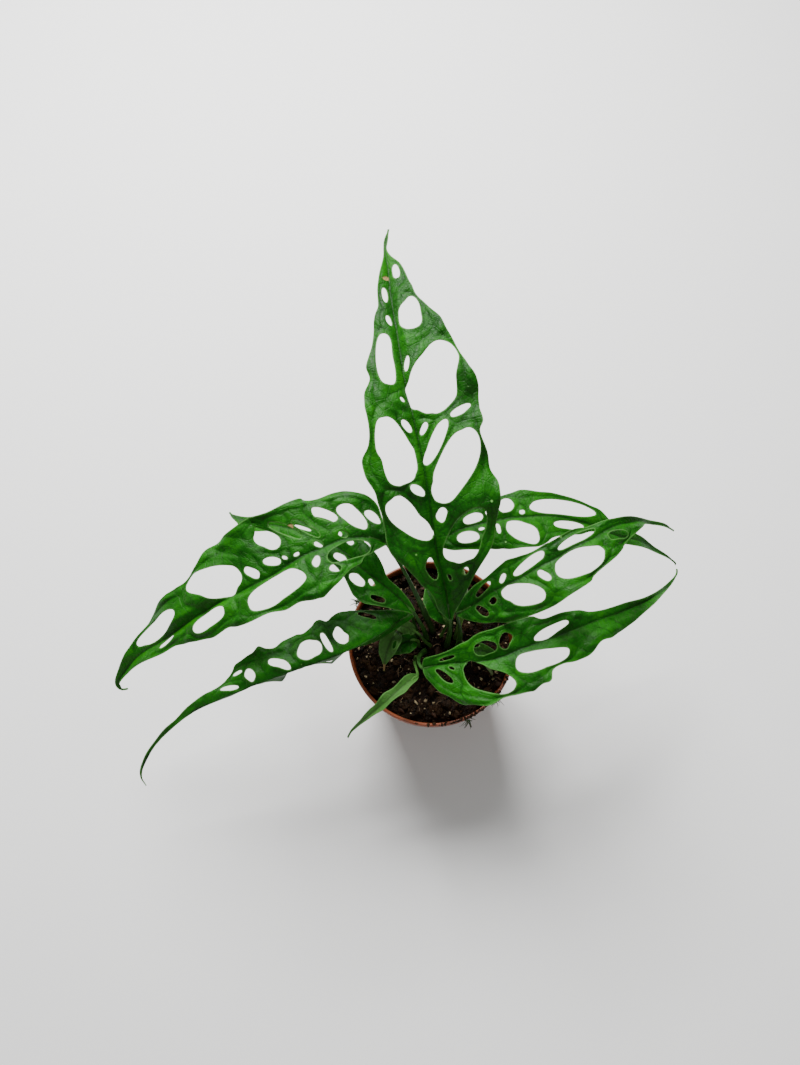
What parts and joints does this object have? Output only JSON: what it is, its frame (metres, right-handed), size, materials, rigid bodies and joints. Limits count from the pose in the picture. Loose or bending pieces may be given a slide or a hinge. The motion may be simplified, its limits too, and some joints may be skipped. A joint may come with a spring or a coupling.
{
  "type": "potted monstera obliqua",
  "caption": "Young climbing aroid with long perforated leaves on slim petioles, standing in soil in a round plastic nursery pot.",
  "frame": {"origin": "middle of the pot's flat underside, in the plane that the pot stands on", "axes": "+Z up along the pot's axis; +Y towards the tip of the upright leaf; +X towards the leaves on the right when the plant is looked down on with +Y up"},
  "size_m": [0.357, 0.3192, 0.2073],
  "materials": {
    "leaf": "living leaf with a satin cuticle, and paler veins and margins",
    "young_leaf": "soft new leaf, yellow green",
    "pot_plastic": "terracotta moulded plastic with a soft sheen and fine scuffs",
    "soil": "damp peat and bark crumbs with pale grit"
  },
  "bodies": {
    "root": {"leaf_upright": "leaf", "leaf_left": "leaf", "leaf_left_under": "leaf", "leaf_folded": "leaf", "leaf_right_rear": "leaf", "leaf_right_middle": "leaf", "leaf_right_front": "leaf", "leaf_young_twisted": "young_leaf", "leaf_young_drooping": "young_leaf", "leaf_young_low": "young_leaf", "leaf_young_centre": "young_leaf", "leaf_young_rear": "young_leaf", "leaf_young_right": "young_leaf", "new_leaf_spear": "young_leaf", "soil": "soil", "pot": "pot_plastic"}
  },
  "joints": []
}
